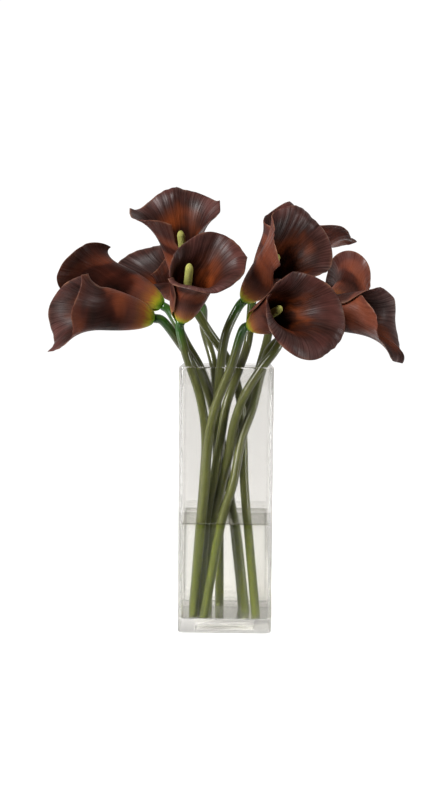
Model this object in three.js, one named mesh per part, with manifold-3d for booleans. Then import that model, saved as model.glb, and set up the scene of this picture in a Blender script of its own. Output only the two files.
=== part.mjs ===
// A square clear glass vase, part filled with water, holding a loose bunch of dark calla lilies.
// Millimetres. +X to the right, +Y away from the front, +Z up.
// The origin is the centre of the vase's foot, on the surface it stands on.

import * as THREE from 'three';
import { mergeVertices } from 'three/addons/utils/BufferGeometryUtils.js';
import Module from 'manifold-3d';

// Vase
const VASE_WIDTH = 100;
const VASE_HEIGHT = 283;
const VASE_WALL = 4;
const VASE_FLOOR = 14;
const VASE_CORNER = 7;
const VASE_ROUNDING = 1.2;
const CORNER_STEPS = 5;

// Water
const WATER_LEVEL = 116;

// Gap kept between pieces that touch
const CLEARANCE = 0.3;

// Stems
const STEM_RADIUS = 4.9;
const STEM_SIDES = 8;
const STEM_STEPS = 15;
const STEM_NECK = 8;
const STEM_TOP_GAP = 0.45;

// Spadix, the finger inside each bloom
const SPADIX_BASE_RADIUS = 3.5;
const SPADIX_RADIUS = 4.3;
const SPADIX_SIDES = 8;
const SPADIX_RINGS = 4;

// Spathe, the rolled sheet of each bloom
const SPATHE_THICKNESS = 0.9;
const SPATHE_COLUMNS = 20;
const SPATHE_ROWS = 7;
const FINE_STEPS = 12;
const FOOT_RADIUS = 5;
const CONE_ANGLE = 6.5;
const FOOT_ANGLE = 43;
const FOOT_LENGTH = 16.5;
const SLIT_WRAP = 176;
const FULL_WRAP = 212;
const OPEN_WRAP = 166;
const ROLL_GAP = 3.2;
const WAVE_HEIGHT = 1.5;
const WAVE_COUNT = 5;
const TIP_WIDTH = 0.06;

// What each bloom has unless it says otherwise. reach is the length of the sheet and fold the angle
// it turns outwards, both given at seven even places from the inner front margin, round the back,
// to the outer front margin.
const PLAIN = {
  reach: [72, 84, 96, 102, 96, 84, 72],
  fold: [20, 50, 65, 65, 65, 50, 20],
  throat: 42,
  tip: 14,
  tipCurl: 40,
  horns: [],
  nod: 0,
  spadix: 66,
  lean: 0,
  leanTo: 0
};

// Each bloom: at is its foot, aim its direction seen from the front (anticlockwise from +X), toward
// how far it points to the front, turn how far it is turned about itself. stem runs from just below
// the bloom to the vase's floor.
const BLOOMS = {
  low_left: {
    at: [-77, -35, 333], aim: 170, toward: 19, turn: 68, throat: 52, tip: 12, tipCurl: -30,
    reach: [80, 96, 114, 108, 92, 98, 87], fold: [30, 30, 52, 84, 30, 22, 58],
    horns: [[0.95, 9, 0.06]],
    stem: [[-49, -20, 305], [-34, -11, 282], [-21, -4, 254], [-15, 1, 234], [-6, 3, 190],
      [3, 4, 145], [11, 8, 104], [23, -8, 10]]
  },
  left: {
    at: [-72, 20, 347], aim: 147, toward: -5, turn: -75, throat: 60, tip: 4, nod: -30,
    reach: [92, 130, 105, 88, 128, 134, 100], fold: [20, 50, 65, 90, 45, 50, 20],
    stem: [[-44, 6, 305], [-30, 8, 281], [-18, 11, 250], [-12, 13, 227], [-3, 14, 188],
      [4, 16, 143], [9, 20, 101], [20, 22, 10]]
  },
  back_left: {
    at: [-36, 78, 352], aim: 143, toward: 2, turn: -30, tip: 2, spadix: 44,
    reach: [64, 62, 70, 92, 112, 88, 60], fold: [20, 30, 44, 46, 34, 35, 30],
    stem: [[-27, 54, 323], [-15, 28, 282], [-12, 24, 249], [-10, 25, 209], [-8, 26, 153],
      [-6, 24, 10]]
  },
  top: {
    at: [-43, 5, 364], aim: 97, toward: 18, turn: 0, tip: 4,
    reach: [60, 84, 100, 112, 104, 102, 84], fold: [20, 50, 62, 30, 62, 56, 15],
    horns: [[-0.4, 7, 0.05], [0.45, 5, 0.05]],
    stem: [[-22, 12, 322], [-6, 18, 299], [6, 18, 277], [14, 10, 249], [18, 2, 212],
      [20, -8, 156], [23, -12, 120], [34, -24, 10]]
  },
  centre: {
    at: [-48, -40, 331], aim: 71, toward: 38, turn: -62, throat: 50, tip: 6,
    lean: 11, leanTo: 108, reach: [72, 87, 94, 100, 100, 80, 62], fold: [85, 84, 76, 62, 46, 30, 40],
    stem: [[-44, -34, 299], [-39, -30, 283], [-30, -26, 256], [-24, -23, 227], [-22, -22, 197],
      [-24, -17, 160], [-27, -15, 116], [-35, -4, 10]]
  },
  upper_right: {
    at: [18, -16, 353], aim: 47, toward: 26, turn: 18, tip: 2, lean: 6, leanTo: 100,
    reach: [66, 92, 108, 118, 98, 88, 84], fold: [58, 50, 56, 50, 40, 8, 58],
    stem: [[-1, -16, 318], [-7, -10, 281], [-10, -8, 251], [-10, -9, 202], [-11, -6, 158],
      [-16, -2, 113], [-22, 1, 10]]
  },
  back_right: {
    at: [33, 36, 372], aim: 61, toward: 0, turn: 0, tip: 0,
    reach: [62, 70, 80, 112, 80, 68, 62], fold: [15, 30, 40, 45, 40, 30, 10],
    horns: [[0.1, 9, 0.12]],
    stem: [[23, 30, 307], [14, 8, 280], [8, -4, 264], [0, -15, 241], [-5, -20, 211],
      [-13, -25, 161], [-20, -26, 120], [-27, -20, 10]]
  },
  far_right: {
    at: [62, 86, 381], aim: 54, toward: -18, turn: -90, throat: 56,
    reach: [56, 66, 92, 96, 92, 76, 56], fold: [20, 36, 62, 52, 62, 50, 20],
    stem: [[45, 42, 311], [36, 24, 279], [28, 24, 248], [12, 30, 209], [-3, 37, 151],
      [-10, 38, 105], [-24, 34, 10]]
  },
  right: {
    at: [110, 22, 343], aim: 32, toward: -46, turn: 20,
    reach: [60, 82, 92, 95, 98, 83, 60], fold: [20, 50, 70, 75, 65, 45, 20],
    stem: [[48, 0, 303], [39, -8, 281], [35, -12, 267], [28, -16, 237], [17, -22, 206],
      [8, -34, 159], [-3, -37, 122], [-23, -38, 10]]
  },
  low_right: {
    at: [83, -14, 340], aim: 0, toward: 15, turn: -60, throat: 54,
    reach: [66, 88, 94, 114, 109, 88, 70], fold: [20, 50, 46, 72, 75, 30, 10],
    stem: [[52, -22, 301], [37, -24, 281], [18, -28, 250], [8, -28, 220], [2, -24, 184],
      [-6, -18, 149], [-15, -14, 109], [-19, -12, 10]]
  },
  front_right: {
    at: [23, -52, 326], aim: 25, toward: 42, turn: -78, throat: 38, tip: 2,
    spadix: 50, lean: 4, leanTo: 170,
    reach: [56, 74, 101, 103, 100, 82, 58], fold: [20, 84, 104, 74, 62, 60, 40],
    horns: [[0.85, 6, 0.08]],
    stem: [[5, -40, 284], [-13, -38, 236], [-19, -38, 199], [-22, -38, 152], [-25, -38, 120],
      [-34, -30, 10]]
  }
};

const COLOURS = {
  glass: { color: 0xdfe2de, roughness: 0.05, metalness: 0 },
  water: { color: 0xb9c49a, roughness: 0.05, metalness: 0 },
  spathe: { color: 0x5a2e28, roughness: 0.45, metalness: 0 },
  spadix: { color: 0xc3bc6a, roughness: 0.8, metalness: 0 },
  stem: { color: 0x65744a, roughness: 0.5, metalness: 0 }
};

const RAD = Math.PI / 180;
const wasm = await Module();
wasm.setup();

// ---------- helpers ----------

function smooth(x) {
  const t = Math.min(Math.max(x, 0), 1);
  return t * t * (3 - 2 * t);
}

// A smooth curve through evenly spaced values, read at u from -1 to 1.
function along(values, u) {
  const last = values.length - 1;
  const x = (u + 1) / 2 * last;
  const i = Math.min(Math.max(Math.floor(x), 0), last - 1);
  const f = x - i;
  const before = i > 0 ? values[i - 1] : 2 * values[0] - values[1];
  const after = i < last - 1 ? values[i + 2] : 2 * values[last] - values[last - 1];
  const b = values[i];
  const c = values[i + 1];
  const bend = 2 * before - 5 * b + 4 * c - after;
  return b + 0.5 * f * (c - before + f * (bend + f * (3 * (b - c) + after - before)));
}

// A closed BufferGeometry with shared vertices, as the solid that the booleans work on.
function toSolid(geometry) {
  const bare = geometry.clone();
  bare.deleteAttribute('normal');
  bare.deleteAttribute('uv');
  const merged = mergeVertices(bare, 1e-4);
  const vertProperties = new Float32Array(merged.attributes.position.array);
  const triVerts = new Uint32Array(merged.index.array);
  return new wasm.Manifold(new wasm.Mesh({ numProp: 3, vertProperties, triVerts }));
}

function toGeometry(solid) {
  const mesh = solid.getMesh();
  const geometry = new THREE.BufferGeometry();
  geometry.setAttribute('position', new THREE.BufferAttribute(mesh.vertProperties, 3));
  geometry.setIndex(new THREE.BufferAttribute(mesh.triVerts, 1));
  geometry.computeVertexNormals();
  return geometry;
}

function piece(name, geometry, look) {
  const mesh = new THREE.Mesh(geometry, new THREE.MeshStandardMaterial(COLOURS[look]));
  mesh.name = name;
  return mesh;
}

// ---------- vase and water ----------

function roundedSquare(half, corner) {
  const shape = new THREE.Shape();
  const inner = half - corner;
  shape.moveTo(half, -inner);
  shape.lineTo(half, inner);
  shape.absarc(inner, inner, corner, 0, Math.PI / 2);
  shape.lineTo(-inner, half);
  shape.absarc(-inner, inner, corner, Math.PI / 2, Math.PI);
  shape.lineTo(-half, -inner);
  shape.absarc(-inner, -inner, corner, Math.PI, 1.5 * Math.PI);
  shape.lineTo(inner, -half);
  shape.absarc(inner, -inner, corner, 1.5 * Math.PI, 2 * Math.PI);
  return shape;
}

// A rounded square block from one height to another, its edges eased by rounding.
function block(half, corner, bottom, top, rounding) {
  const shape = roundedSquare(half - rounding, corner - rounding);
  const geometry = new THREE.ExtrudeGeometry(shape, {
    depth: top - bottom - 2 * rounding,
    curveSegments: CORNER_STEPS,
    bevelEnabled: rounding > 0,
    bevelThickness: rounding,
    bevelSize: rounding,
    bevelSegments: 2
  });
  geometry.translate(0, 0, bottom + rounding);
  return geometry;
}

function vaseGeometry() {
  const outer = toSolid(block(VASE_WIDTH / 2, VASE_CORNER, 0, VASE_HEIGHT, VASE_ROUNDING));
  const innerHalf = VASE_WIDTH / 2 - VASE_WALL;
  const overTop = VASE_HEIGHT + 10;
  const hollow = toSolid(block(innerHalf, VASE_CORNER - VASE_WALL, VASE_FLOOR, overTop, 1));
  return toGeometry(outer.subtract(hollow));
}

function waterGeometry(stemPaths) {
  const half = VASE_WIDTH / 2 - VASE_WALL - CLEARANCE;
  const bottom = VASE_FLOOR + CLEARANCE;
  let water = toSolid(block(half, VASE_CORNER - VASE_WALL, bottom, WATER_LEVEL, 1));
  for (const path of stemPaths) {
    water = water.subtract(toSolid(tube(path, STEM_RADIUS + CLEARANCE)));
  }
  return toGeometry(water);
}

// ---------- stems ----------

function bloomFrame(bloom) {
  const aim = bloom.aim * RAD;
  const toward = bloom.toward * RAD;
  const turn = bloom.turn * RAD;
  const axis = new THREE.Vector3(
    Math.cos(toward) * Math.cos(aim), -Math.sin(toward), Math.cos(toward) * Math.sin(aim));
  const away = new THREE.Vector3(0, 1, 0).addScaledVector(axis, -axis.y).normalize();
  const across = new THREE.Vector3().crossVectors(axis, away);
  const back = away.multiplyScalar(Math.cos(turn)).addScaledVector(across, Math.sin(turn));
  const side = new THREE.Vector3().crossVectors(axis, back);
  return { back, side, axis };
}

// The stem's centre line, from below the vase's floor up to the bloom, which it meets in line.
function stemPath(bloom) {
  const { axis } = bloomFrame(bloom);
  const foot = new THREE.Vector3(...bloom.at);
  const top = foot.clone().addScaledVector(axis, -STEM_TOP_GAP);
  const neck = foot.clone().addScaledVector(axis, -STEM_NECK);
  const rest = bloom.stem.map((point) => new THREE.Vector3(...point));
  return new THREE.CatmullRomCurve3([top, neck, ...rest].reverse(), false, 'centripetal');
}

function tube(path, radius) {
  const section = new THREE.Shape();
  for (let i = 0; i < STEM_SIDES; i++) {
    const angle = i / STEM_SIDES * 2 * Math.PI;
    const x = radius * Math.cos(angle);
    const y = radius * Math.sin(angle);
    if (i === 0) {
      section.moveTo(x, y);
    } else {
      section.lineTo(x, y);
    }
  }
  return new THREE.ExtrudeGeometry(section, { steps: STEM_STEPS, extrudePath: path });
}

// The stem is cut off flat just above the vase's floor.
function stemGeometry(path) {
  const cut = new THREE.BoxGeometry(VASE_WIDTH, VASE_WIDTH, VASE_FLOOR);
  cut.translate(0, 0, VASE_FLOOR / 2 + CLEARANCE);
  return toGeometry(toSolid(tube(path, STEM_RADIUS)).subtract(toSolid(cut)));
}

// ---------- blooms ----------

// One column of the rolled sheet, from its foot (v = 0) to its rim (v = 1), in the bloom's own
// frame: x to the back, y across, z along the axis. The sheet leaves the axis at an angle that is
// the cone's, plus the rounded foot's, plus the outward fold above the throat, and the radius and
// height are the running sums of that angle's sine and cosine.
function sheetColumn(bloom, u) {
  const nearTip = Math.exp(-Math.abs(u) / TIP_WIDTH);
  let reach = along(bloom.reach, u) + bloom.tip * nearTip;
  for (const [place, height, width] of bloom.horns) {
    reach += height * Math.exp(-Math.abs(u - place) / width);
  }
  const fold = along(bloom.fold, u) * RAD;
  const steps = SPATHE_ROWS * FINE_STEPS;
  const ds = reach / steps;
  const column = [];
  let radius = FOOT_RADIUS;
  let height = 0;
  let last = FOOT_ANGLE * RAD;
  for (let k = 0; k <= steps; k++) {
    const s = k * ds;
    const x = Math.min(Math.max((s - bloom.throat) / Math.max(reach - bloom.throat, 12), 0), 1);
    const foot = (FOOT_ANGLE - CONE_ANGLE) * Math.exp(-s / FOOT_LENGTH);
    const curl = bloom.tipCurl * Math.exp(-((u / 0.12) ** 2)) * smooth((k / steps - 0.86) / 0.14);
    const angle = (CONE_ANGLE + foot + curl) * RAD + fold * x ** 1.5;
    if (k > 0) {
      radius += (Math.sin(angle) + Math.sin(last)) / 2 * ds;
      height += (Math.cos(angle) + Math.cos(last)) / 2 * ds;
    }
    last = angle;
    if (k % FINE_STEPS === 0) {
      column.push(sheetPoint(bloom, u, s, x, angle, radius, height));
    }
  }
  return column;
}

// The column's point is wrapped round the axis as a spiral, waved, and bent over by the nod.
function sheetPoint(bloom, u, s, x, angle, radius, height) {
  const rolled = (FULL_WRAP - SLIT_WRAP) * smooth((s - 6) / 20);
  const opened = (FULL_WRAP - OPEN_WRAP) * smooth((s - bloom.throat + 8) / 30);
  const around = u * (SLIT_WRAP + rolled - opened) * RAD;
  const wave = WAVE_HEIGHT * x ** 1.5 * Math.sin(WAVE_COUNT * Math.PI * u);
  const spiral = ROLL_GAP * (1 - Math.exp(-s / 4)) * around / (2 * Math.PI);
  const r = radius + spiral - wave * Math.cos(angle);
  const z = height + wave * Math.sin(angle);
  const point = new THREE.Vector3(r * Math.cos(around), r * Math.sin(around), z);
  if (bloom.nod !== 0) {
    const bendRadius = 100 / (bloom.nod * RAD);
    const bent = z / bendRadius;
    point.z = (bendRadius - point.x) * Math.sin(bent);
    point.x = bendRadius - (bendRadius - point.x) * Math.cos(bent);
  }
  return point;
}

function placed(bloom, frame, local) {
  return new THREE.Vector3(...bloom.at)
    .addScaledVector(frame.back, local.x)
    .addScaledVector(frame.side, local.y)
    .addScaledVector(frame.axis, local.z);
}

// The sheet as a closed solid: two offset skins, split into triangles alike, joined at the edges.
function spatheGeometry(bloom) {
  const frame = bloomFrame(bloom);
  const middle = [];
  for (let i = 0; i <= SPATHE_COLUMNS; i++) {
    const k = 2 * i / SPATHE_COLUMNS - 1;
    const u = k * (0.75 + 0.25 * k * k);
    middle.push(sheetColumn(bloom, u).map((point) => placed(bloom, frame, point)));
  }
  const positions = [];
  for (const way of [1, -1]) {
    for (let i = 0; i <= SPATHE_COLUMNS; i++) {
      for (let j = 0; j <= SPATHE_ROWS; j++) {
        const left = middle[Math.max(i - 1, 0)][j];
        const right = middle[Math.min(i + 1, SPATHE_COLUMNS)][j];
        const below = middle[i][Math.max(j - 1, 0)];
        const above = middle[i][Math.min(j + 1, SPATHE_ROWS)];
        const turn = right.clone().sub(left);
        const rise = above.clone().sub(below);
        const normal = turn.cross(rise).normalize();
        const point = middle[i][j].clone().addScaledVector(normal, way * SPATHE_THICKNESS / 2);
        positions.push(point.x, point.y, point.z);
      }
    }
  }
  const rows = SPATHE_ROWS + 1;
  const skin = (SPATHE_COLUMNS + 1) * rows;
  const index = [];
  for (let i = 0; i < SPATHE_COLUMNS; i++) {
    for (let j = 0; j < SPATHE_ROWS; j++) {
      const a = i * rows + j;
      const b = a + rows;
      index.push(a, b, b + 1, a, b + 1, a + 1);
      index.push(skin + a, skin + b + 1, skin + b, skin + a, skin + a + 1, skin + b + 1);
    }
  }
  const edge = [];
  for (let i = 0; i < SPATHE_COLUMNS; i++) {
    edge.push(i * rows);
  }
  for (let j = 0; j < SPATHE_ROWS; j++) {
    edge.push(SPATHE_COLUMNS * rows + j);
  }
  for (let i = SPATHE_COLUMNS; i > 0; i--) {
    edge.push(i * rows + SPATHE_ROWS);
  }
  for (let j = SPATHE_ROWS; j > 0; j--) {
    edge.push(j);
  }
  for (let n = 0; n < edge.length; n++) {
    const a = edge[n];
    const b = edge[(n + 1) % edge.length];
    index.push(a, skin + a, skin + b, a, skin + b, b);
  }
  const geometry = new THREE.BufferGeometry();
  geometry.setAttribute('position', new THREE.Float32BufferAttribute(positions, 3));
  geometry.setIndex(index);
  geometry.computeVertexNormals();
  return geometry;
}

// The finger is turned about its own axis, then leans a little and is set in the bloom.
function spadixGeometry(bloom) {
  const shoulder = bloom.spadix - SPADIX_RADIUS;
  const profile = [new THREE.Vector2(0, 0), new THREE.Vector2(SPADIX_BASE_RADIUS, 0)];
  for (let i = 1; i <= SPADIX_RINGS; i++) {
    profile.push(new THREE.Vector2(SPADIX_RADIUS, shoulder * i / SPADIX_RINGS));
  }
  profile.push(new THREE.Vector2(SPADIX_RADIUS * 0.7, shoulder + SPADIX_RADIUS * 0.7));
  profile.push(new THREE.Vector2(0, bloom.spadix));
  const geometry = new THREE.LatheGeometry(profile, SPADIX_SIDES);
  const frame = bloomFrame(bloom);
  const position = geometry.attributes.position;
  for (let i = 0; i < position.count; i++) {
    const height = position.getY(i);
    const shift = (height / bloom.spadix) ** 1.5 * bloom.spadix * Math.tan(bloom.lean * RAD);
    const local = new THREE.Vector3(
      -position.getX(i) + shift * Math.cos(bloom.leanTo * RAD),
      position.getZ(i) + shift * Math.sin(bloom.leanTo * RAD),
      height);
    const point = placed(bloom, frame, local);
    position.setXYZ(i, point.x, point.y, point.z);
  }
  return toGeometry(toSolid(geometry));
}

// ---------- assembly ----------

const group = new THREE.Group();
const stemPaths = [];
for (const [name, own] of Object.entries(BLOOMS)) {
  const bloom = { ...PLAIN, ...own };
  const path = stemPath(bloom);
  stemPaths.push(path);
  group.add(piece(`spathe_${name}`, spatheGeometry(bloom), 'spathe'));
  group.add(piece(`spadix_${name}`, spadixGeometry(bloom), 'spadix'));
  group.add(piece(`stem_${name}`, stemGeometry(path), 'stem'));
}
group.add(piece('vase', vaseGeometry(), 'glass'));
group.add(piece('water', waterGeometry(stemPaths), 'water'));

export default group;
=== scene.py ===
"""A square clear glass vase, part filled with water, with a loose spray of dark calla lilies.

Sizes in the tables are millimetres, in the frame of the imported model: the origin is the centre of
the vase's foot, +X to the right, +Y away from the front, +Z up. Angles are degrees. Meshes are
made in metres.
"""
import math

import bpy
import numpy as np
from mathutils import Matrix, Vector


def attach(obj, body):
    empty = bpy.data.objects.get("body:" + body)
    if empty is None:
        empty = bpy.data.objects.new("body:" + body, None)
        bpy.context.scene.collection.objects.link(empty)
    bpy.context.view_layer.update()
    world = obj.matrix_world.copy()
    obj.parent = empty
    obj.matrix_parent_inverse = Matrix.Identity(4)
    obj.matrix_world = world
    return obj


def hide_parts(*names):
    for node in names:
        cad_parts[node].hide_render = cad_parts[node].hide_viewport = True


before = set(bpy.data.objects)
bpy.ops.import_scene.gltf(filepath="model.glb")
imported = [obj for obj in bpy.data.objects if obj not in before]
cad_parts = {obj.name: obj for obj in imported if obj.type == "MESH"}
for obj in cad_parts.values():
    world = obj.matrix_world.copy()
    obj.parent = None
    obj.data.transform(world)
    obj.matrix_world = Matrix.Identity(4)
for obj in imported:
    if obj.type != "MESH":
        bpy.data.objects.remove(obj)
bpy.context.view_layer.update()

MM = 0.001
RAD = math.pi / 180

# ---------- sizes ----------

# Vase
VASE_HALF = 50
VASE_HEIGHT = 283
VASE_WALL = 4
VASE_FLOOR = 14
VASE_CORNER = 7
FOOT_ROUNDING = 2.2
FOOT_CORNER = 4
RIM_ROUNDING = 1.5
FLOOR_ROUNDING = 3
RECESS_HALF = 32
RECESS_CORNER = 5
RECESS_DEPTH = 4
RECESS_ROUNDING = 1
SMALLEST_CORNER = 0.5
FLAT_STEP = 0.4
CORNER_STEPS = 14
ROUNDING_STEPS = 7
RECESS_STEPS = 4

# Water
WATER_LEVEL = 116
WATER_GAP = 0.05
MENISCUS = 1.8
MENISCUS_FALL = 1.1
MENISCUS_EDGE = 0.1
MENISCUS_INSETS = (0.05, 0.2, 0.5, 0.9, 1.4, 2.0, 2.8, 4.0, 6.0)

# Stems
STEM_RADIUS = 4.9
STEM_NECK = 8
STEM_TOP_GAP = 0.45
STEM_SINK = 2
STEM_SIDES = 40
STEM_STEPS = 150
CURVE_STEPS = 12
CLEARANCE = 0.3
RIB_INSET = 0.1
FINE_RIB = 0.05
FINE_RIB_COUNT = 9
BROAD_RIB = 0.04
BROAD_RIB_COUNT = 4
BROAD_RIB_START = 1.3
BROAD_RIB_PITCH = 60

# Spadix, the finger inside each bloom
SPADIX_BASE_RADIUS = 3.5
SPADIX_RADIUS = 4.3
SPADIX_SWELL = 18
SPADIX_TAPER = 0.12
SPADIX_TAPER_START = 25
SPADIX_TIP_RADII = 1.4
TIP_OPENING = 1e-5
LEAN_EASE = 1.5
SPADIX_SIDES = 100
SPADIX_STEPS = 170
RING_EASE = 1.2
GRAIN_HEIGHT = 0.16
GRAIN_TURNS = 10
GRAIN_PITCH = 1.35

# Spathe, the rolled sheet of each bloom
SHEET_COLUMNS = 180
SHEET_ROWS = 84
BACK_SPACING = 0.75
SHEET_THICKNESS = 0.9
EDGE_THICKNESS = 0.24
THINNING = 1.5
RIM_WIDTH = 1.1
FOOT_RADIUS = 5
FOOT_TUCK = 2.4
FOOT_TUCK_LENGTH = 0.8
FOOT_ANGLE = 43
FOOT_LENGTH = 16.5
CONE_ANGLE = 6.5
SHORTEST_LIP = 12
LIP_EASE = 1.5
SLIT_WRAP = 181
FULL_WRAP = 212
OPEN_WRAP = 166
ROLL_START = 6
ROLL_LENGTH = 20
OPENING_START = 8
OPENING_LENGTH = 30
ROLL_GAP = 3.2
ROLL_GAP_LENGTH = 4
WAVE_HEIGHT = 1.5
WAVE_COUNT = 5
RIPPLE_HEIGHT = 0.35
RIPPLE_COUNT = 23
RIPPLE_EASE = 3
RIPPLE_SWAY = 4
RIPPLE_SWAY_PACE = 7
RIPPLE_PATCH_PACE = 5.3
TIP_WIDTH = 0.06
CURL_WIDTH = 0.12
CURL_START = 0.86
NOD_LENGTH = 100
MARGIN_WRAP = 3
SHEET_UNIT = 100
SEED_STEP = 7.3

# What each bloom has unless it says otherwise. reach is the length of the sheet and fold the angle
# it turns outwards, both given at seven even places from the inner front margin, round the back, to
# the outer front margin. throat is how far up the sheet it starts to turn outwards. tip is how much
# longer the sheet is in a peak at its back, curl the angle that peak bends by, and horns more peaks,
# each as [place, height, width]. nod is the angle the whole bloom bends over by. spadix is the
# finger's length, lean the angle it leans at and lean_to the side it leans to.
PLAIN = dict(
    throat=42, tip=14, curl=40, horns=[], nod=0, spadix=66, lean=0, lean_to=0,
    reach=[72, 84, 96, 102, 96, 84, 72], fold=[20, 50, 65, 65, 65, 50, 20])

# Each bloom: at is its foot, aim its direction seen from the front (anticlockwise from +X), toward
# how far it points to the front, turn how far it is turned about itself. stem runs from just below
# the bloom to the vase's floor.
BLOOMS = dict(
    low_left=dict(
        at=[-77, -35, 333], aim=170, toward=19, turn=68, throat=52, tip=12, curl=-30,
        reach=[80, 96, 114, 108, 92, 98, 87], fold=[30, 30, 52, 84, 30, 22, 58],
        horns=[[0.95, 9, 0.06]],
        stem=[[-49, -20, 305], [-34, -11, 282], [-21, -4, 254], [-15, 1, 234], [-6, 3, 190],
              [3, 4, 145], [11, 8, 104], [23, -8, 10]]),
    left=dict(
        at=[-72, 20, 347], aim=147, toward=-5, turn=-75, throat=60, tip=4, nod=-30,
        reach=[92, 130, 105, 88, 128, 134, 100], fold=[20, 50, 65, 90, 45, 50, 20],
        stem=[[-44, 6, 305], [-30, 8, 281], [-18, 11, 250], [-12, 13, 227], [-3, 14, 188],
              [4, 16, 143], [9, 20, 101], [20, 22, 10]]),
    back_left=dict(
        at=[-36, 78, 352], aim=143, toward=2, turn=-30, tip=2, spadix=44,
        reach=[64, 62, 70, 92, 112, 88, 60], fold=[20, 30, 44, 46, 34, 35, 30],
        stem=[[-27, 54, 323], [-15, 28, 282], [-12, 24, 249], [-10, 25, 209], [-8, 26, 153],
              [-6, 24, 10]]),
    top=dict(
        at=[-43, 5, 364], aim=97, toward=18, turn=0, tip=4,
        reach=[60, 84, 100, 112, 104, 102, 84], fold=[20, 50, 62, 30, 62, 56, 15],
        horns=[[-0.4, 7, 0.05], [0.45, 5, 0.05]],
        stem=[[-22, 12, 322], [-6, 18, 299], [6, 18, 277], [14, 10, 249], [18, 2, 212],
              [20, -8, 156], [23, -12, 120], [34, -24, 10]]),
    centre=dict(
        at=[-48, -40, 331], aim=71, toward=38, turn=-62, throat=50, tip=6, lean=11, lean_to=108,
        reach=[72, 87, 94, 100, 100, 80, 62], fold=[85, 84, 76, 62, 46, 30, 40],
        stem=[[-44, -34, 299], [-39, -30, 283], [-30, -26, 256], [-24, -23, 227],
              [-22, -22, 197], [-24, -17, 160], [-27, -15, 116], [-35, -4, 10]]),
    upper_right=dict(
        at=[18, -16, 353], aim=47, toward=26, turn=18, tip=2, lean=6, lean_to=100,
        reach=[66, 92, 108, 118, 98, 88, 84], fold=[58, 50, 56, 50, 40, 8, 58],
        stem=[[-1, -16, 318], [-7, -10, 281], [-10, -8, 251], [-10, -9, 202], [-11, -6, 158],
              [-16, -2, 113], [-22, 1, 10]]),
    back_right=dict(
        at=[33, 36, 372], aim=61, toward=0, turn=0, tip=0,
        reach=[62, 70, 80, 112, 80, 68, 62], fold=[15, 30, 40, 45, 40, 30, 10],
        horns=[[0.1, 9, 0.12]],
        stem=[[23, 30, 307], [14, 8, 280], [8, -4, 264], [0, -15, 241], [-5, -20, 211],
              [-13, -25, 161], [-20, -26, 120], [-27, -20, 10]]),
    far_right=dict(
        at=[62, 86, 381], aim=54, toward=-18, turn=-90, throat=56,
        reach=[56, 66, 92, 96, 92, 76, 56], fold=[20, 36, 62, 52, 62, 50, 20],
        stem=[[45, 42, 311], [36, 24, 279], [28, 24, 248], [12, 30, 209], [-3, 37, 151],
              [-10, 38, 105], [-24, 34, 10]]),
    right=dict(
        at=[110, 22, 343], aim=32, toward=-46, turn=20,
        reach=[60, 82, 92, 95, 98, 83, 60], fold=[20, 50, 70, 75, 65, 45, 20],
        stem=[[48, 0, 303], [39, -8, 281], [35, -12, 267], [28, -16, 237], [17, -22, 206],
              [8, -34, 159], [-3, -37, 122], [-23, -38, 10]]),
    low_right=dict(
        at=[83, -14, 340], aim=0, toward=15, turn=-60, throat=54,
        reach=[66, 88, 94, 114, 109, 88, 70], fold=[20, 50, 46, 72, 75, 30, 10],
        stem=[[52, -22, 301], [37, -24, 281], [18, -28, 250], [8, -28, 220], [2, -24, 184],
              [-6, -18, 149], [-15, -14, 109], [-19, -12, 10]]),
    front_right=dict(
        at=[23, -52, 326], aim=25, toward=42, turn=-78, throat=38, tip=2,
        spadix=50, lean=4, lean_to=170,
        reach=[56, 74, 101, 103, 100, 82, 58], fold=[20, 84, 104, 74, 62, 60, 40],
        horns=[[0.85, 6, 0.08]],
        stem=[[5, -40, 284], [-13, -38, 236], [-19, -38, 199], [-22, -38, 152],
              [-25, -38, 120], [-34, -30, 10]]))

# ---------- camera ----------

CAMERA_AT = (5.9, -1125, 333)
CAMERA_DOWN = 4.48
CAMERA_LEFT = 0.5
CAMERA_ROLL = 0.48
CAMERA_FAR = 50000
SENSOR = 36
PICTURE_WIDTH = 446
FOCAL_PIXELS = 1034


def place_camera():
    """The camera looks along +Y, turned a little left and down, then rolled."""
    data = bpy.data.cameras.new("camera")
    data.sensor_fit = "HORIZONTAL"
    data.sensor_width = SENSOR
    data.lens = FOCAL_PIXELS / PICTURE_WIDTH * SENSOR
    data.clip_end = CAMERA_FAR * MM
    camera = bpy.data.objects.new("camera", data)
    left = Matrix.Rotation(CAMERA_LEFT * RAD, 4, "Z")
    down = Matrix.Rotation((90 - CAMERA_DOWN) * RAD, 4, "X")
    roll = Matrix.Rotation(CAMERA_ROLL * RAD, 4, "Z")
    camera.matrix_world = Matrix.Translation(Vector(CAMERA_AT) * MM) @ left @ down @ roll
    bpy.context.scene.collection.objects.link(camera)
    bpy.context.scene.camera = camera


# ---------- shapes ----------

def smooth(x):
    """A step from 0 to 1 with level ends: 3t^2 - 2t^3."""
    t = np.clip(x, 0, 1)
    return t * t * (3 - 2 * t)


def along(values, u):
    """A smooth curve through evenly spaced values, read at u from -1 to 1: on each stretch a
    cubic through its two ends, with the slope at each end half the difference of its neighbours."""
    v = np.asarray(values, float)
    last = len(v) - 1
    x = (np.asarray(u) + 1) / 2 * last
    i = np.clip(np.floor(x).astype(int), 0, last - 1)
    f = x - i
    padded = np.concatenate([[2 * v[0] - v[1]], v, [2 * v[-1] - v[-2]]])
    a, b, c, d = padded[i], padded[i + 1], padded[i + 2], padded[i + 3]
    return b + 0.5 * f * (c - a + f * (2 * a - 5 * b + 4 * c - d + f * (3 * (b - c) + d - a)))


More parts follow.
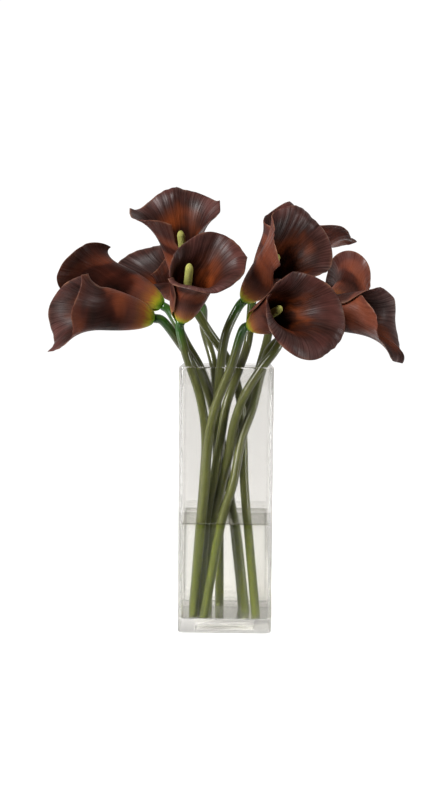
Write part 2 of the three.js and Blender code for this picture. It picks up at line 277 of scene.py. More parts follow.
def bloom_axes(bloom):
    """The bloom's own frame: its axis from aim and toward, and back and side turned about it."""
    aim, toward, turn = (bloom[key] * RAD for key in ("aim", "toward", "turn"))
    axis = np.array([math.cos(toward) * math.cos(aim), -math.sin(toward),
                     math.cos(toward) * math.sin(aim)])
    away = np.array([0, 1, 0]) - axis[1] * axis
    away = away / np.linalg.norm(away)
    across = np.cross(axis, away)
    back = away * math.cos(turn) + across * math.sin(turn)
    return back, np.cross(axis, back), axis


def in_bloom(bloom, local):
    """Points of the bloom's own frame set in the model's frame."""
    return np.asarray(bloom["at"], float) + local @ np.stack(bloom_axes(bloom))


def sheet_surface(bloom):
    """The middle of the rolled sheet on a grid of u, round it, by v, from foot to rim, with the
    length s along the sheet and roughly how far each point is from the sheet's edge.

    The columns lie closer together at the back, where the tip is. The sheet is as long as its
    reach, with the tip and the horns added as narrow peaks. It leaves the axis at an angle: the
    cone's, plus the rounded foot's, which dies away with s, plus the tip's curl, plus the outward
    fold above the throat. Radius and height are the running sums of that angle's sine and cosine,
    and the very foot is tucked in. The point is then wrapped round the axis as a spiral, whose
    overlap grows above the foot and opens again near the throat. It is waved along its normal,
    finely rippled near the rim, and bent over on an arc by the nod."""
    k = np.linspace(-1, 1, SHEET_COLUMNS + 1)
    u = (k * (BACK_SPACING + (1 - BACK_SPACING) * k * k))[:, None]
    v = np.linspace(0, 1, SHEET_ROWS + 1)[None, :]
    reach = along(bloom["reach"], u) + bloom["tip"] * np.exp(-np.abs(u) / TIP_WIDTH)
    for place, height, width in bloom["horns"]:
        reach = reach + height * np.exp(-np.abs(u - place) / width)
    s = reach * v
    throat = bloom["throat"]
    lip = np.clip((s - throat) / np.maximum(reach - throat, SHORTEST_LIP), 0, 1)
    at_tip = np.exp(-((u / CURL_WIDTH) ** 2)) * smooth((v - CURL_START) / (1 - CURL_START))
    foot_angle = (FOOT_ANGLE - CONE_ANGLE) * np.exp(-s / FOOT_LENGTH)
    angle = (CONE_ANGLE + foot_angle + bloom["curl"] * at_tip) * RAD
    angle = angle + along(bloom["fold"], u) * RAD * lip ** LIP_EASE
    step = reach / SHEET_ROWS

    def running_sum(f):
        sums = np.cumsum((f[:, 1:] + f[:, :-1]) / 2 * step, axis=1)
        return np.concatenate([np.zeros((len(u), 1)), sums], axis=1)

    tuck = FOOT_TUCK * np.exp(-s / FOOT_TUCK_LENGTH)
    radius = FOOT_RADIUS + running_sum(np.sin(angle)) - tuck
    height = running_sum(np.cos(angle))
    rolled = (FULL_WRAP - SLIT_WRAP) * smooth((s - ROLL_START) / ROLL_LENGTH)
    opened = (FULL_WRAP - OPEN_WRAP) * smooth((s - throat + OPENING_START) / OPENING_LENGTH)
    around = u * (SLIT_WRAP + rolled - opened) * RAD
    wave = WAVE_HEIGHT * lip ** LIP_EASE * np.sin(WAVE_COUNT * np.pi * u)
    sway = RIPPLE_SWAY * np.sin(RIPPLE_SWAY_PACE * u)
    ripple = np.sin(RIPPLE_COUNT * np.pi * u + sway + v)
    ripple = ripple * np.cos(RIPPLE_PATCH_PACE * u + bloom["aim"])
    wave = wave + RIPPLE_HEIGHT * lip ** RIPPLE_EASE * ripple
    spiral = ROLL_GAP * (1 - np.exp(-s / ROLL_GAP_LENGTH)) * around / (2 * np.pi)
    r = radius + spiral - wave * np.cos(angle)
    z = height + wave * np.sin(angle)
    across = r * np.cos(around)
    if bloom["nod"]:
        bend = NOD_LENGTH / (bloom["nod"] * RAD)
        z, across = (bend - across) * np.sin(z / bend), bend - (bend - across) * np.cos(z / bend)
    local = np.stack([across, r * np.sin(around), z], axis=-1)
    to_edge = np.minimum(reach * (1 - v), radius * (1 - np.abs(u)) * MARGIN_WRAP)
    return in_bloom(bloom, local), u + 0 * v, v + 0 * u, s, to_edge


def grid_faces(columns, rows, first=0, flip=False, closed=False):
    """The quads of a grid whose points are numbered column by column; closed joins the last
    column to the first."""
    i = np.arange(columns if closed else columns - 1)[:, None]
    j = np.arange(rows - 1)[None, :]
    a = first + i * rows + j
    b = first + (i + 1) % columns * rows + j
    quads = np.stack([a, b, b + 1, a + 1], axis=-1).reshape(-1, 4)
    return quads[:, ::-1] if flip else quads


def tube_faces(columns, rows, flip=False):
    """The quads of a closed grid and the two caps that close its ends."""
    first = np.arange(columns) * rows
    last = first + rows - 1
    caps = [first.tolist(), last[::-1].tolist()] if flip else [first[::-1].tolist(), last.tolist()]
    return grid_faces(columns, rows, flip=flip, closed=True).tolist() + caps


def new_piece(name, points, faces, finish, slot, marks, node):
    """A mesh object from points in millimetres, with smooth faces and named vector marks, that
    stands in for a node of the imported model."""
    mesh = bpy.data.meshes.new(name)
    mesh.from_pydata((points * MM).tolist(), [], [list(face) for face in faces])
    mesh.polygons.foreach_set("use_smooth", np.ones(len(mesh.polygons), bool))
    for key, values in marks.items():
        layer = mesh.attributes.new(key, "FLOAT_VECTOR", "POINT")
        layer.data.foreach_set("vector", np.asarray(values, np.float32).ravel())
    mesh.materials.append(finish)
    mesh.update()
    piece = bpy.data.objects.new(name, mesh)
    bpy.context.scene.collection.objects.link(piece)
    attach(piece, "root")
    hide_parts(node)


def make_spathe(name, bloom, finish):
    """Two skins, half the thickness to each side of the sheet's middle along its normal, thinning
    towards the rim, and joined round the edge. Its marks are the place round and up the sheet and
    the length along it, then which skin a point is on, how near the rim it is and the bloom's
    own seed."""
    middle, u, v, s, to_edge = sheet_surface(bloom)
    normal = np.cross(np.gradient(middle, axis=0), np.gradient(middle, axis=1))
    normal = normal / np.linalg.norm(normal, axis=-1, keepdims=True)
    fullness = np.sqrt(np.clip(to_edge / THINNING, 0, 1))
    half = (EDGE_THICKNESS + (SHEET_THICKNESS - EDGE_THICKNESS) * fullness)[..., None] / 2
    skins = [middle + normal * half, middle - normal * half]
    points = np.concatenate([skin.reshape(-1, 3) for skin in skins])
    columns, rows = SHEET_COLUMNS + 1, SHEET_ROWS + 1
    count = columns * rows
    number = np.arange(count).reshape(columns, rows)
    edge = np.concatenate([number[:-1, 0], number[-1, :-1], number[:0:-1, -1], number[0, :0:-1]])
    after = np.roll(edge, -1)
    faces = np.concatenate([
        grid_faces(columns, rows), grid_faces(columns, rows, first=count, flip=True),
        np.stack([edge, edge + count, after + count, after], axis=-1)])
    sheet = np.stack([(u + 1) / 2, v, s / SHEET_UNIT], axis=-1).reshape(-1, 3)
    outside = np.concatenate([np.ones(count), np.zeros(count)])
    rim = np.exp(-to_edge / RIM_WIDTH).ravel()
    seed = np.full(2 * count, list(BLOOMS).index(name) * SEED_STEP)
    marks = {"sheet": np.concatenate([sheet, sheet]),
             "skin": np.stack([outside, np.concatenate([rim, rim]), seed], axis=-1)}
    new_piece(f"bloom_{name}", points, faces, finish, "spathe", marks, f"spathe_{name}")


def make_spadix(name, bloom, finish):
    """A finger: its radius rises from the base, tapers a little, and closes over a round tip. Two
    families of fine spirals cross on it, and the product of their sines raises the grains. It
    leans over as a power of the height, and is set in the bloom's frame."""
    length, radius = bloom["spadix"], SPADIX_RADIUS
    t = np.linspace(0, 1, SPADIX_STEPS)
    height = length * np.sin(t * np.pi / 2) ** RING_EASE
    swell = SPADIX_BASE_RADIUS + (radius - SPADIX_BASE_RADIUS) * smooth(height / SPADIX_SWELL)
    taper = 1 - SPADIX_TAPER * smooth((height - SPADIX_TAPER_START) / length)
    from_tip = np.clip((length - height) / (radius * SPADIX_TIP_RADII), 0, 1)
    r = swell * np.sqrt(1 - (1 - from_tip) ** 2 + TIP_OPENING) * taper
    a = np.linspace(0, 2 * np.pi, SPADIX_SIDES, endpoint=False)[:, None]
    climb = np.pi / GRAIN_PITCH * height
    grains = np.abs(np.sin(GRAIN_TURNS * a + climb) * np.sin(GRAIN_TURNS * a - climb))
    r = r + GRAIN_HEIGHT * grains * from_tip
    shift = (height / length) ** LEAN_EASE * length * math.tan(bloom["lean"] * RAD)
    local = np.stack([r * np.cos(a) + shift * math.cos(bloom["lean_to"] * RAD),
                      r * np.sin(a) + shift * math.sin(bloom["lean_to"] * RAD),
                      height + 0 * a], axis=-1)
    grain = np.stack([radius * np.cos(a) + 0 * r, radius * np.sin(a) + 0 * r, height + 0 * a],
                     axis=-1)
    new_piece(f"finger_{name}", in_bloom(bloom, local).reshape(-1, 3),
              tube_faces(SPADIX_SIDES, SPADIX_STEPS), finish, "spadix",
              {"grain": grain.reshape(-1, 3)}, f"spadix_{name}")


def stem_line(bloom):
    """The stem's centre line from the bloom down: a curve through its points whose pace between
    two points is the root of their distance, which keeps it from looping or overshooting."""
    axis = bloom_axes(bloom)[2]
    foot = np.asarray(bloom["at"], float)
    p = np.array([foot - axis * STEM_TOP_GAP, foot - axis * STEM_NECK, *bloom["stem"]], float)
    p = np.concatenate([[2 * p[0] - p[1]], p, [2 * p[-1] - p[-2]]])
    knot = np.concatenate([[0], np.cumsum(np.sqrt(np.linalg.norm(np.diff(p, axis=0), axis=1)))])
    x = np.linspace(knot[1], knot[-2], CURVE_STEPS * len(p))
    i = np.clip(np.searchsorted(knot, x, side="right") - 1, 1, len(p) - 3)
    x = x[:, None]

    def blend(first, second, start, end):
        start, end = knot[start][:, None], knot[end][:, None]
        return ((end - x) * first + (x - start) * second) / (end - start)

    a1, a2, a3 = (blend(p[i + n], p[i + n + 1], i + n, i + n + 1) for n in (-1, 0, 1))
    b1, b2 = blend(a1, a2, i - 1, i + 1), blend(a2, a3, i, i + 2)
    line = blend(b1, b2, i, i + 1)
    length = np.concatenate([[0], np.cumsum(np.linalg.norm(np.diff(line, axis=0), axis=1))])
    even = np.linspace(0, length[-1], STEM_STEPS)
    return np.stack([np.interp(even, length, line[:, n]) for n in range(3)], axis=-1), even


def make_stem(name, bloom, finish):
    """A round tube along the stem's line, with fine ribs and a few broad ones that wind slowly.
    It ends flat just above the vase's floor: what is lower is lifted to that height, and the
    rings well below it are left off."""
    line, length = stem_line(bloom)
    floor = VASE_FLOOR + CLEARANCE
    rows = int(np.max(np.nonzero(line[:, 2] > floor - STEM_SINK)[0])) + 1
    tangent = np.gradient(line, axis=0)
    tangent = tangent / np.linalg.norm(tangent, axis=-1, keepdims=True)
    side = np.cross(tangent, [0, 1, 0])
    side = side / np.linalg.norm(side, axis=-1, keepdims=True)
    front = np.cross(side, tangent)
    a = np.linspace(0, 2 * np.pi, STEM_SIDES, endpoint=False)[:, None]
    winding = BROAD_RIB_START + length / BROAD_RIB_PITCH
    ribs = FINE_RIB * np.cos(FINE_RIB_COUNT * a)
    ribs = ribs + BROAD_RIB * np.cos(BROAD_RIB_COUNT * a + winding)
    r = (STEM_RADIUS + ribs - RIB_INSET)[..., None]
    points = line + r * (np.cos(a)[..., None] * side + np.sin(a)[..., None] * front)
    points[..., 2] = np.maximum(points[..., 2], floor)
    grain = np.stack([STEM_RADIUS * np.cos(a) + 0 * length, STEM_RADIUS * np.sin(a) + 0 * length,
                      length + 0 * a], axis=-1)
    new_piece(f"stalk_{name}", points[:, :rows].reshape(-1, 3),
              tube_faces(STEM_SIDES, rows, flip=True), finish, "stem",
              {"grain": grain[:, :rows].reshape(-1, 3)}, f"stem_{name}")


def square_ring(half, corner):
    """A rounded square, anticlockwise: quarter circles at the corners, with one more point just
    past each of their ends so that the flats stay flat under smooth shading."""
    a = np.linspace(0, np.pi / 2, CORNER_STEPS)
    inner = half - corner
    x = np.concatenate([[half], inner + corner * np.cos(a), [inner - FLAT_STEP]])
    y = np.concatenate([[inner - FLAT_STEP], inner + corner * np.sin(a), [half]])
    turns = [(x, y), (-y, x), (-x, -y), (y, -x)]
    return np.concatenate([np.stack(turn, axis=-1) for turn in turns])


def stacked_rings(profile):
    """Rounded squares stacked along a profile of (half width, corner radius, height), with caps."""
    rings = []
    for half, corner, z in profile:
        ring = square_ring(half, corner)
        rings.append(np.column_stack([ring, np.full(len(ring), z)]))
    points = np.stack(rings, axis=1)
    return points.reshape(-1, 3), tube_faces(*points.shape[:2])


def edge_round(half, corner, z, radius, start, end, steps=ROUNDING_STEPS):
    """Profile points round an edge: half width and height move on a circle from start to end
    degrees about (half, z), and the corner radius moves with the half width."""
    a = np.linspace(start, end, steps) * RAD
    return [(half + radius * c, max(corner + radius * c, SMALLEST_CORNER), z + radius * s)
            for c, s in zip(np.cos(a), np.sin(a))]


def make_vase(finish):
    """The profile goes from the shallow recess under the base, round the foot, up the outside,
    over the rim and down the inside."""
    foot, rim, fillet, soft = FOOT_ROUNDING, RIM_ROUNDING, FLOOR_ROUNDING, RECESS_ROUNDING
    inner = VASE_HALF - VASE_WALL
    inner_corner = VASE_CORNER - VASE_WALL
    below_rim = VASE_HEIGHT - rim
    profile = [(RECESS_HALF - 2 * soft, RECESS_CORNER - 2 * soft, RECESS_DEPTH)]
    profile += edge_round(RECESS_HALF - soft, RECESS_CORNER - soft, RECESS_DEPTH - soft, soft,
                          90, 0, RECESS_STEPS)
    profile += edge_round(RECESS_HALF + soft, RECESS_CORNER + soft, soft, soft,
                          180, 270, RECESS_STEPS)
    profile += [(RECESS_HALF + 1.5 * soft, RECESS_CORNER + 1.5 * soft, 0),
                (VASE_HALF - foot - FLAT_STEP, FOOT_CORNER, 0)]
    profile += edge_round(VASE_HALF - foot, VASE_CORNER - foot, foot, foot, -90, 0)
    profile += [(VASE_HALF, VASE_CORNER, foot + FLAT_STEP),
                (VASE_HALF, VASE_CORNER, below_rim - FLAT_STEP)]
    profile += edge_round(VASE_HALF - rim, VASE_CORNER - rim, below_rim, rim, 0, 90)
    profile += edge_round(inner + rim, inner_corner + rim, below_rim, rim, 90, 180)
    profile += [(inner, inner_corner, below_rim - FLAT_STEP),
                (inner, inner_corner, VASE_FLOOR + fillet + FLAT_STEP)]
    profile += edge_round(inner - fillet, inner_corner - fillet, VASE_FLOOR + fillet, fillet,
                          0, -90)
    profile += [(inner - fillet - FLAT_STEP, SMALLEST_CORNER, VASE_FLOOR)]
    new_piece("glass_vase", *stacked_rings(profile), finish, "glass", {}, "vase")


def make_water(finish):
    """The water fills the vase to its level and creeps up the glass: the rise dies away with the
    distance from the wall."""
    half = VASE_HALF - VASE_WALL - WATER_GAP
    corner = VASE_CORNER - VASE_WALL
    bottom = VASE_FLOOR + WATER_GAP
    fillet = FLOOR_ROUNDING
    profile = [(half - fillet - FLAT_STEP, SMALLEST_CORNER, bottom)]
    profile += edge_round(half - fillet, corner - fillet, bottom + fillet, fillet, -90, 0)
    profile += [(half, corner, bottom + fillet + FLAT_STEP),
                (half, corner, WATER_LEVEL + MENISCUS - MENISCUS_EDGE)]
    for inset in MENISCUS_INSETS:
        rise = MENISCUS * math.exp(-inset / MENISCUS_FALL)
        profile.append((half - inset, max(corner - inset, SMALLEST_CORNER), WATER_LEVEL + rise))
    new_piece("water_body", *stacked_rings(profile), finish, "water", {}, "water")


# ---------- materials ----------

class Flow:
    """A value on its way through a material, so that sums on it read as ordinary maths."""

    def __init__(self, finish, socket):
        self.finish = finish
        self.socket = socket

    def _maths(self, operation, first, second):
        node = self.finish.node("ShaderNodeMath", {"operation": operation}, {0: first, 1: second})
        return self.finish.out(node)

    def __add__(self, other):
        return self._maths("ADD", self, other)

    def __radd__(self, other):
        return self._maths("ADD", other, self)

    def __sub__(self, other):
        return self._maths("SUBTRACT", self, other)

    def __rsub__(self, other):
        return self._maths("SUBTRACT", other, self)

    def __mul__(self, other):
        return self._maths("MULTIPLY", self, other)

    def __rmul__(self, other):
        return self._maths("MULTIPLY", other, self)

    def between(self, low, high):
        """0 below low, 1 above high, straight between them."""
        node = self.finish.node("ShaderNodeMapRange", {"clamp": True},
                                {"Value": self, "From Min": low, "From Max": high})
        return self.finish.out(node)


class Finish:
    """A procedural material with a Principled shader."""

    def __init__(self, name, **constants):
        self.material = bpy.data.materials.new(name)
        self.material.use_nodes = True
        self.tree = self.material.node_tree
        self.shader = self.tree.nodes["Principled BSDF"]
        self.output = self.tree.nodes["Material Output"]
        self.paint(**constants)

    def node(self, kind, settings=None, values=None):
        """A node of any type: its settings first, then the values or links of its sockets."""
        node = self.tree.nodes.new(kind)
        for key, value in (settings or {}).items():
            setattr(node, key, value)
        self.feed(node, values or {})
        return node

    def feed(self, node, values):
        """Each socket gets a link from a flow, or else a constant."""
        for key, value in values.items():
            if isinstance(value, Flow):
                self.tree.links.new(value.socket, node.inputs[key])
            else:
                node.inputs[key].default_value = value

    def out(self, node, key=0):
        return Flow(self, node.outputs[key])

    def split(self, vector):
        """The three values of a vector."""
        node = self.node("ShaderNodeSeparateXYZ", None, {0: vector})
        return [self.out(node, n) for n in range(3)]

    def mark(self, name):
        """A vector mark of the piece, as three values."""
        node = self.node("ShaderNodeAttribute", {"attribute_name": name})
        return self.split(self.out(node, "Vector"))

    def place(self):
        """The point's place on the object, as three values in metres."""
        return self.split(self.out(self.node("ShaderNodeTexCoord"), "Object"))

    def vector(self, x, y, z):
        return self.out(self.node("ShaderNodeCombineXYZ", None, {0: x, 1: y, 2: z}))

    def noise(self, where, scale, detail=2, roughness=0.5):
        node = self.node("ShaderNodeTexNoise", None,
                         {"Vector": where, "Scale": scale, "Detail": detail, "Roughness": roughness})
        return self.out(node, "Fac")

    def cells(self, where, scale):
        """The distance to the middle of the nearest of many small cells."""
        node = self.node("ShaderNodeTexVoronoi", None, {"Vector": where, "Scale": scale})
        return self.out(node, "Distance")

    def mix(self, factor, first, second):
        """A colour between two colours."""
        node = self.node("ShaderNodeMix", {"data_type": "RGBA"}, {0: factor})
        for key, value in ((6, first), (7, second)):
            self.feed(node, {key: value if isinstance(value, Flow) else (*value, 1)})
        return self.out(node, 2)

    def ramp(self, value, stops):
        """A colour read off a row of (place, colour) stops."""
        node = self.node("ShaderNodeValToRGB", None, {0: value})
        elements = node.color_ramp.elements
        for n, (place, colour) in enumerate(stops):
            element = elements[n] if n < 2 else elements.new(place)
            element.position = place
            element.color = (*colour, 1)
        return self.out(node)

    def paint(self, **values):
        """Sockets of the shader, with underscores for the spaces in their names."""
        self.feed(self.shader, {key.replace("_", " "): value for key, value in values.items()})

    def relief(self, height, distance):
        """Bump, with distance in millimetres."""
        node = self.node("ShaderNodeBump", None, {"Height": height, "Distance": distance * MM})
        self.paint(Normal=self.out(node))


# Colours, as linear light: the sheet's inside from throat to rim, and the painted glow of light
# shining through it and the painted shadow on it
DEEP = (0.003, 0.0005, 0.0002)
RUSSET = (0.080, 0.015, 0.005)
CHOCOLATE = (0.016, 0.003, 0.002)
# Mauve of the rim, lightened to stand for a painted sheen
MAUVE_AND_SHEEN = (0.085, 0.027, 0.024)
# Painted glow: light shining through the thin sheet, painted into its colour
PAINTED_GLOW = (0.300, 0.060, 0.010)
UMBER = (0.007, 0.0015, 0.001)

# The sheet's outside and foot
OUTER_DARK = (0.009, 0.002, 0.001)
OUTER_RED = (0.072, 0.014, 0.007)
OUTER_PALE = (0.250, 0.060, 0.024)
FOOT_GREEN = (0.170, 0.380, 0.020)
FOOT_YELLOW = (0.560, 0.480, 0.030)
FOOT_ORANGE = (0.440, 0.150, 0.040)
FOOT_ROSE = (0.240, 0.085, 0.058)

# The sheet's fine lines, whose light colour is a painted sheen, and its tan edge
VEIN_DARK = (0.006, 0.002, 0.001)
# Painted sheen on the fine lines, strongest near the rim
VEIN_SHEEN = (0.230, 0.085, 0.062)
EDGE_TAN = (0.260, 0.120, 0.070)

# Stems and fingers
STEM_OLIVE = (0.100, 0.108, 0.028)
STEM_DARK = (0.040, 0.044, 0.010)
STEM_TOP = (0.016, 0.085, 0.008)
# Painted light: the stem's lighter yellow green below the water, for light scattered in the water
STEM_SCATTER = (0.100, 0.115, 0.010)
STEM_SCATTER_DARK = (0.055, 0.070, 0.008)
FINGER_LIGHT = (0.620, 0.600, 0.200)
FINGER_DARK = (0.340, 0.330, 0.050)

# Glass, water and floor
GLASS_TINT = (0.938, 0.930, 0.914)
WATER_TINT = (0.950, 0.955, 0.935)
# Painted shade: the dark band where the water's surface is seen
WATER_SURFACE_SHADE = (0.400, 0.390, 0.320)
FLOOR_GREY = (0.40, 0.40, 0.40)
FLOOR_WHITE = (0.92, 0.92, 0.92)
BLACK = (0, 0, 0)
WHITE = (1, 1, 1)

GLASS_BENDING = 1.47
WATER_BENDING = 1.333
SEE_THROUGH = 0.3
FLOOR_GLOW = 0.6
FLOOR_FADE_FRONT = -60
FLOOR_FADE_BACK = 80


def spathe_finish():
    """Inside, near black in the throat, then russet, chocolate, and mauve towards the rim, the mauve
    lightened as a painted sheen, with a cloudy orange brown painted glow of light shining through
    the sheet above the throat, and painted dark shadows over it. Outside, red brown in soft bands,
    fading at the foot through rose, orange and yellow to green. Fine lines run up the sheet, the
    light ones a painted sheen that grows towards the rim, its rim is tan in patches, and patches
    near the rim have a satin sheen."""
    finish = Finish("calla_sheet", Coat_Roughness=0.34, Specular_IOR_Level=0.08)
    round_it, up_it, length = finish.mark("sheet")
    outside, rim, seed = finish.mark("skin")

    def cloudy(round_scale, up_scale, shift, detail=2, roughness=0.5):
        """Noise with its own scale round the sheet and up it, different on each bloom."""
        where = finish.vector(round_it * round_scale, up_it * up_scale, seed + shift)
        return finish.noise(where, 1, detail, roughness)

    lines = cloudy(170, 2.2, 0, 3, 0.6)
    broad = cloudy(26, 1.6, 3)
    height = up_it + (cloudy(5, 2, 9) - 0.5) * 0.6 + (broad - 0.5) * 0.14

    # Inside
    inner = finish.ramp(height, [(0.28, DEEP), (0.54, RUSSET), (0.76, CHOCOLATE), (0.98, MAUVE_AND_SHEEN)])
    # Painted glow of light shining through the sheet, in cloudy patches above the throat
    painted_glow = height.between(0.36, 0.50) * (1 - height.between(0.56, 0.80))
    patch = cloudy(4, 2, 21, 1).between(0.38, 0.62)
    inner = finish.mix(painted_glow * (0.25 + 0.75 * patch), inner, PAINTED_GLOW)
    shadow = cloudy(7, 3, 45).between(0.40, 0.60)
    inner = finish.mix(shadow * 0.85, inner, UMBER)

    # Outside
    bands = cloudy(2.2, 3.2, 33)
    outer = finish.mix(bands.between(0.44, 0.64), OUTER_RED, OUTER_PALE)
    outer = finish.mix(bands.between(0.30, 0.52), OUTER_DARK, outer)
    # Towards the rim the outside turns mauve, lightened as a painted sheen
    outer = finish.mix(height.between(0.7, 1.0) * 0.5, outer, MAUVE_AND_SHEEN)

    # Foot
    foot = length + (broad - 0.5) * 0.12
    foot_colour = finish.ramp(foot, [
        (0.03, FOOT_GREEN), (0.09, FOOT_YELLOW), (0.17, FOOT_ORANGE), (0.30, FOOT_ROSE)])
    outer = finish.mix(foot.between(0.18, 0.44), foot_colour, outer)
    inner = finish.mix(length.between(0.08, 0.16), foot_colour, inner)
    colour = finish.mix(outside, inner, outer)

    # Fine lines
    streak = (lines - 0.5) * (2.2 - 1.4 * outside) + (broad - 0.5) * 0.8
    dark = finish.mix(0.5 * foot.between(0.04, 0.24), colour, VEIN_DARK)
    # The light lines carry a painted sheen that grows towards the rim
    light = finish.mix(0.02 + 0.2 * height.between(0.45, 1), colour, VEIN_SHEEN)
    colour = finish.mix((streak + 0.5).between(0, 1), dark, light)

    # Rim and sheen
    # The rim is lighter tan in patches
    tan_patches = cloudy(18, 1, 57, 1).between(0.42, 0.66)
    colour = finish.mix(rim * tan_patches * 0.8, colour, EDGE_TAN)
    satin = cloudy(6, 3, 71, 1).between(0.34, 0.56)
    finish.paint(Base_Color=colour, Roughness=0.34 + 0.22 * lines,
                 Coat_Weight=height.between(0.55, 1.0) * lines.between(0.35, 0.75) * satin)
    finish.relief(lines + broad * 1.5, 0.6)
    return finish.material


def stem_finish():
    """Olive green with faint lines along it, fresh green under the bloom, and a painted light below
    the water level: lighter yellow green, for the light scattered in the water."""
    finish = Finish("calla_stem", Specular_IOR_Level=0.25, Coat_Weight=0.8, Coat_Roughness=0.06)
    x, y, length = finish.mark("grain")
    height = finish.place()[2]
    lines = finish.noise(finish.vector(x * 0.8, y * 0.8, length * 0.01), 1, 3, 0.6)
    cloud = finish.noise(finish.vector(x * 0.12, y * 0.12, length * 0.02), 1, 2)
    colour = finish.mix((lines * 0.7 + cloud * 0.3).between(0.3, 0.7), STEM_DARK, STEM_OLIVE)
    top = 1 - (length + (cloud - 0.5) * 14).between(14, 34)
    colour = finish.mix(top * 0.85, colour, STEM_TOP)
    # Painted light: lighter yellow green below the water level, for light scattered in the water
    water_scatter = 1 - height.between((WATER_LEVEL - 1) * MM, (WATER_LEVEL + 1) * MM)
    scatter_colour = finish.mix(lines.between(0.3, 0.7), STEM_SCATTER_DARK, STEM_SCATTER)
    colour = finish.mix(water_scatter * 0.9, colour, scatter_colour)
    finish.paint(Base_Color=colour, Roughness=0.26 + 0.16 * lines)
    finish.relief(lines, 0.25)
    return finish.material


def finger_finish():
    """Pale yellow green, covered in close rounded grains."""
    finish = Finish("calla_finger", Roughness=0.75)
    x, y, length = finish.mark("grain")
    grains = finish.cells(finish.vector(x, y, length), 1.5)
    cloud = finish.noise(finish.vector(x * 0.1, y * 0.1, length * 0.05), 1, 2)
    colour = finish.mix((grains * 0.8 + cloud * 0.5).between(0.2, 0.9), FINGER_LIGHT, FINGER_DARK)
    finish.paint(Base_Color=colour)
    finish.relief(1 - grains, 0.45)
    return finish.material


def clear_finish(name, tint, bending):
    """A clear solid that bends light, and lets light through to what stands in it."""
    finish = Finish(name, Base_Color=(*tint, 1), Roughness=0, IOR=bending, Transmission_Weight=1)
    path = finish.node("ShaderNodeLightPath")
    through = finish.node("ShaderNodeBsdfTransparent", None, {"Color": (*tint, 1)})
    join = finish.node("ShaderNodeMixShader", None, {
        0: finish.out(path, "Is Shadow Ray") * (1 - SEE_THROUGH) + SEE_THROUGH,
        1: finish.out(finish.shader), 2: finish.out(through)})
    finish.feed(finish.output, {"Surface": finish.out(join)})
    return finish


def glass_finish():
    """Clear, with a faint warm tint."""
    return clear_finish("clear_glass", GLASS_TINT, GLASS_BENDING).material


def water_finish():
    """Clear, with painted shade: a darker tint at the top of the water, from just under its level
    up.
    """
    finish = clear_finish("still_water", WATER_TINT, WATER_BENDING)
    # Painted shade: the top of the water is tinted darker, for the dark band where its surface is
    # seen
    surface = finish.place()[2].between((WATER_LEVEL - 0.6) * MM, (WATER_LEVEL - 0.1) * MM)
    finish.paint(Base_Color=finish.mix(surface, WATER_TINT, WATER_SURFACE_SHADE))
    return finish.material


def floor_finish():
    """Matt, faintly mottled, white behind the vase and grey before it. It glows to the camera
    alone, so that it looks white all over while the glass mirrors the soft grey."""
    finish = Finish("floor_white", Roughness=0.9, Specular_IOR_Level=0,
                    Emission_Strength=FLOOR_GLOW)
    x, y, _ = finish.place()
    mottle = finish.noise(finish.vector(x, y, 0), 3, 2)
    behind = y.between(FLOOR_FADE_FRONT * MM, FLOOR_FADE_BACK * MM)
    seen = finish.out(finish.node("ShaderNodeLightPath"), "Is Camera Ray")
    finish.paint(Base_Color=finish.mix(behind * 0.96 + mottle * 0.04, FLOOR_GREY, FLOOR_WHITE),
                 Emission_Color=finish.mix(seen, BLACK, WHITE))
    return finish.material


# ---------- setting ----------

FLOOR_REACH = 6000
FLOOR_FRONT = -600
SURROUND_COLOUR = (1, 0.985, 0.965)
SURROUND_EASE = 0.6
FRONT_STRENGTH = 0.04
BACK_STRENGTH = 0.62
BACKDROP_STRENGTH = 1.05
KEY_STRENGTH = 3.9
KEY_SPREAD = 24
KEY_TURN = (36, -44, 0)
STRIPS = dict(strip_left=(-900, -700, 500), strip_right=(1000, -500, 500))
STRIP_TARGET = (0, 0, 250)
STRIP_WIDTH = 150
STRIP_LENGTH = 1100
STRIP_POWER = 6


def make_floor(finish):
    """A flat sheet under the vase, which ends just in front of the picture's lower edge."""
    far, near = FLOOR_REACH, FLOOR_FRONT
    corners = np.array([[-far, near, 0], [far, near, 0], [far, far, 0], [-far, far, 0]], float)
    mesh = bpy.data.meshes.new("floor")
    mesh.from_pydata((corners * MM).tolist(), [], [[0, 1, 2, 3]])
    mesh.materials.append(finish)
    floor = bpy.data.objects.new("floor", mesh)
    bpy.context.scene.collection.objects.link(floor)


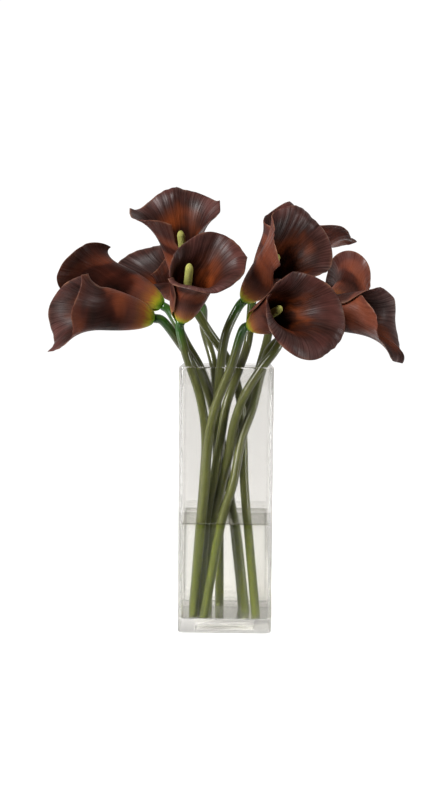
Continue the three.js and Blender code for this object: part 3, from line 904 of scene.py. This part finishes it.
def make_surround():
    """A warm white world, dim in front of the object and bright behind it. The camera sees it as
    plain white."""
    world = bpy.data.worlds.new("surround")
    world.use_nodes = True
    tree = world.node_tree
    light = tree.nodes["Background"]
    light.inputs["Color"].default_value = (*SURROUND_COLOUR, 1)
    backdrop = tree.nodes.new("ShaderNodeBackground")
    backdrop.inputs["Color"].default_value = (*WHITE, 1)
    backdrop.inputs["Strength"].default_value = BACKDROP_STRENGTH
    way = tree.nodes.new("ShaderNodeTexCoord")
    split = tree.nodes.new("ShaderNodeSeparateXYZ")
    behind = tree.nodes.new("ShaderNodeMapRange")
    behind.inputs["From Min"].default_value = -SURROUND_EASE
    behind.inputs["From Max"].default_value = SURROUND_EASE
    behind.inputs["To Min"].default_value = FRONT_STRENGTH
    behind.inputs["To Max"].default_value = BACK_STRENGTH
    path = tree.nodes.new("ShaderNodeLightPath")
    join = tree.nodes.new("ShaderNodeMixShader")
    tree.links.new(way.outputs["Generated"], split.inputs[0])
    tree.links.new(split.outputs["Y"], behind.inputs[0])
    tree.links.new(behind.outputs[0], light.inputs["Strength"])
    tree.links.new(path.outputs["Is Camera Ray"], join.inputs[0])
    tree.links.new(light.outputs[0], join.inputs[1])
    tree.links.new(backdrop.outputs[0], join.inputs[2])
    tree.links.new(join.outputs[0], tree.nodes["World Output"].inputs["Surface"])
    bpy.context.scene.world = world


def make_key_light():
    """A broad sun from the front, above and to the left."""
    data = bpy.data.lights.new("key", "SUN")
    data.energy = KEY_STRENGTH
    data.angle = KEY_SPREAD * RAD
    key = bpy.data.objects.new("key", data)
    key.rotation_euler = [angle * RAD for angle in KEY_TURN]
    bpy.context.scene.collection.objects.link(key)


def make_strip_light(name, at):
    """A tall soft light to one side, aimed at the middle of the object."""
    data = bpy.data.lights.new(name, "AREA")
    data.shape = "RECTANGLE"
    data.size = STRIP_WIDTH * MM
    data.size_y = STRIP_LENGTH * MM
    data.energy = STRIP_POWER
    strip = bpy.data.objects.new(name, data)
    way = (Vector(STRIP_TARGET) - Vector(at)).normalized()
    facing = way.to_track_quat("-Z", "Y").to_matrix().to_4x4()
    strip.matrix_world = Matrix.Translation(Vector(at) * MM) @ facing
    bpy.context.scene.collection.objects.link(strip)


# ---------- assembly ----------

place_camera()
sheet_material = spathe_finish()
stem_material = stem_finish()
finger_material = finger_finish()
for bloom_name, own in BLOOMS.items():
    whole = {**PLAIN, **own}
    make_spathe(bloom_name, whole, sheet_material)
    make_spadix(bloom_name, whole, finger_material)
    make_stem(bloom_name, whole, stem_material)
make_vase(glass_finish())
make_water(water_finish())
make_floor(floor_finish())
make_surround()
make_key_light()
for strip_name, strip_at in STRIPS.items():
    make_strip_light(strip_name, strip_at)
bpy.context.scene.view_settings.view_transform = "Standard"

bpy.context.view_layer.update()
